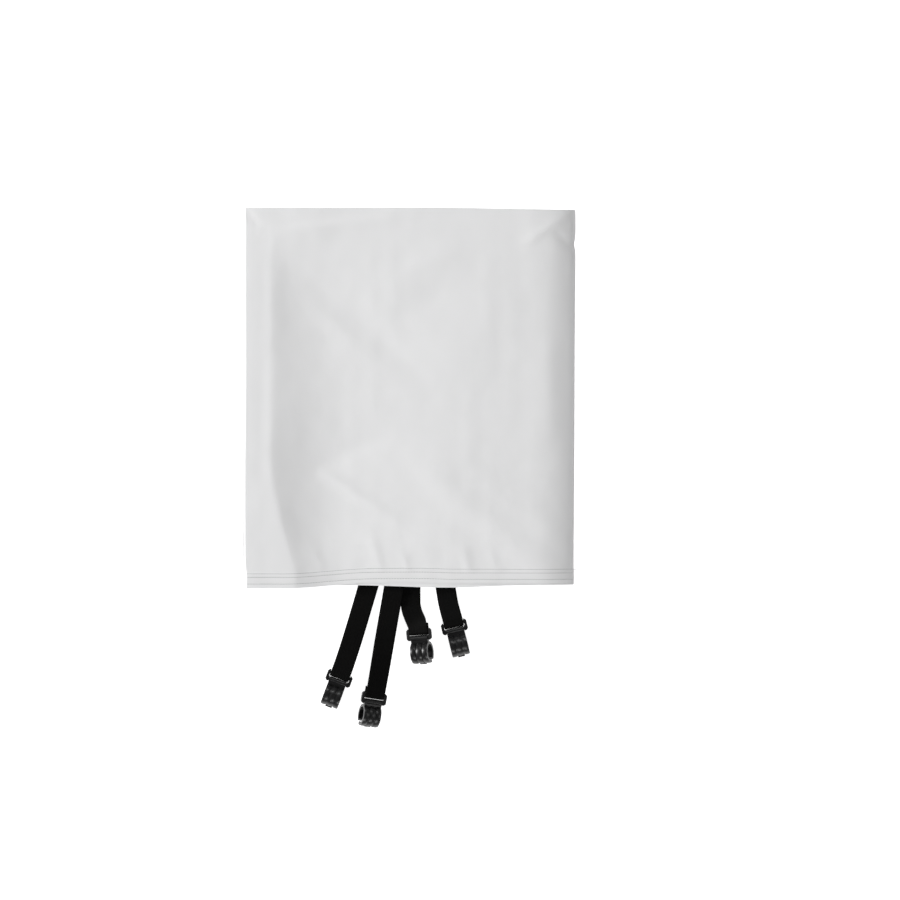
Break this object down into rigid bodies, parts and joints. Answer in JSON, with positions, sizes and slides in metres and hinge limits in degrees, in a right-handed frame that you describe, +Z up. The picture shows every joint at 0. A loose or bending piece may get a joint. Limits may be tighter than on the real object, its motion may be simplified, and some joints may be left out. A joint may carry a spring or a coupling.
{
  "type": "folded rotary clothesline cover",
  "caption": "Folded fabric rain cover for a rotary clothesline, with webbing straps, sliding adjusters and C-shaped clips that grip the line arms.",
  "frame": {"origin": "centre of the folded cover's underside", "axes": "+Z up from the surface it lies on, -Y towards the hemmed edge where the straps come out, +X along that edge to the right"},
  "size_m": [0.414, 0.6505, 0.0322],
  "materials": {
    "cover_fabric": "smooth coated polyester, faint sheen",
    "thread": "twisted sewing thread",
    "webbing": "woven polypropylene webbing, matte with a faint rib",
    "patch_fabric": "coated polyester reinforcing patch",
    "slider_plastic": "moulded black plastic, glossy",
    "clip_plastic": "moulded black plastic, glossy, ribbed"
  },
  "bodies": {
    "cover_base": {"cover_lower_half": "cover_fabric", "cover_lower_hem": "cover_fabric", "cover_spine": "cover_fabric", "strap_1_anchor": "webbing", "strap_1_patch": "patch_fabric", "strap_1_box_stitch": "thread", "strap_2_anchor": "webbing", "strap_2_patch": "patch_fabric", "strap_2_box_stitch": "thread", "strap_3_anchor": "webbing", "strap_3_patch": "patch_fabric", "strap_3_box_stitch": "thread", "strap_4_anchor": "webbing", "strap_4_patch": "patch_fabric", "strap_4_box_stitch": "thread"},
    "cover_lid": {"cover_upper_half": "cover_fabric", "cover_upper_hem": "cover_fabric", "hem_stitching": "thread"},
    "strap_1_web": {"strap_1_run": "webbing"},
    "strap_1_buckle": {"strap_1_loop": "webbing", "strap_1_slider": "slider_plastic"},
    "strap_1_hook": {"strap_1_clip": "clip_plastic"},
    "strap_2_web": {"strap_2_run": "webbing"},
    "strap_2_buckle": {"strap_2_loop": "webbing", "strap_2_slider": "slider_plastic"},
    "strap_2_hook": {"strap_2_clip": "clip_plastic"},
    "strap_3_web": {"strap_3_run": "webbing"},
    "strap_3_buckle": {"strap_3_loop": "webbing", "strap_3_slider": "slider_plastic"},
    "strap_3_hook": {"strap_3_clip": "clip_plastic"},
    "strap_4_web": {"strap_4_run": "webbing"},
    "strap_4_buckle": {"strap_4_loop": "webbing", "strap_4_slider": "slider_plastic"},
    "strap_4_hook": {"strap_4_clip": "clip_plastic"}
  },
  "joints": [
    {"name": "cover_open", "type": "hinge", "parent": "cover_base", "child": "cover_lid", "pos_m": [0.19852, 0, 0.00848], "axis": [0, 1, 0], "range_deg": [0, 180], "deforming": ["cover_spine"]},
    {"name": "strap_1_lift", "type": "hinge", "parent": "cover_base", "child": "strap_1_web", "pos_m": [-0.05427, -0.24467, 0.0021], "axis": [-0.9588, 0.284, 0], "range_deg": [0, 90], "deforming": ["strap_1_run"]},
    {"name": "strap_1_adjust", "type": "slide", "parent": "strap_1_web", "child": "strap_1_buckle", "axis": [-0.3502, -0.9367, 0], "range_m": [-0.06, 0.008], "deforming": ["strap_1_run"]},
    {"name": "strap_1_tilt", "type": "hinge", "parent": "strap_1_buckle", "child": "strap_1_hook", "pos_m": [-0.08978, -0.35602, 0.01375], "axis": [-0.9367, 0.3502, 0], "range_deg": [-80, 80]},
    {"name": "strap_2_lift", "type": "hinge", "parent": "cover_base", "child": "strap_2_web", "pos_m": [-0.02315, -0.25768, 0.0066], "axis": [-0.9848, 0.1736, 0], "range_deg": [0, 90], "deforming": ["strap_2_run"]},
    {"name": "strap_2_adjust", "type": "slide", "parent": "strap_2_web", "child": "strap_2_buckle", "axis": [-0.1822, -0.9833, 0], "range_m": [-0.06, 0.008], "deforming": ["strap_2_run"]},
    {"name": "strap_2_tilt", "type": "hinge", "parent": "strap_2_buckle", "child": "strap_2_hook", "pos_m": [-0.04522, -0.38072, 0.02075], "axis": [-0.9351, 0.1733, 0.309], "range_deg": [-65, 95]},
    {"name": "strap_3_lift", "type": "hinge", "parent": "cover_base", "child": "strap_3_web", "pos_m": [0.001, -0.25, 0.0021], "axis": [-1, 0, 0], "range_deg": [0, 90], "deforming": ["strap_3_run"]},
    {"name": "strap_3_adjust", "type": "slide", "parent": "strap_3_web", "child": "strap_3_buckle", "axis": [0.1045, -0.9945, 0], "range_m": [-0.012, 0.008], "deforming": ["strap_3_run"]},
    {"name": "strap_3_tilt", "type": "hinge", "parent": "strap_3_buckle", "child": "strap_3_hook", "pos_m": [0.01247, -0.30107, 0.01922], "axis": [-0.9458, -0.0994, -0.309], "range_deg": [-70, 90]},
    {"name": "strap_4_lift", "type": "hinge", "parent": "cover_base", "child": "strap_4_web", "pos_m": [0.04605, -0.2449, 0.0066], "axis": [-0.9877, -0.1564, 0], "range_deg": [0, 90], "deforming": ["strap_4_run"]},
    {"name": "strap_4_adjust", "type": "slide", "parent": "strap_4_web", "child": "strap_4_buckle", "axis": [0.2419, -0.9703, 0], "range_m": [-0.012, 0.008], "deforming": ["strap_4_run"]},
    {"name": "strap_4_tilt", "type": "hinge", "parent": "strap_4_buckle", "child": "strap_4_hook", "pos_m": [0.05719, -0.29187, 0.01375], "axis": [-0.9703, -0.2419, 0], "range_deg": [-80, 80]}
  ]
}
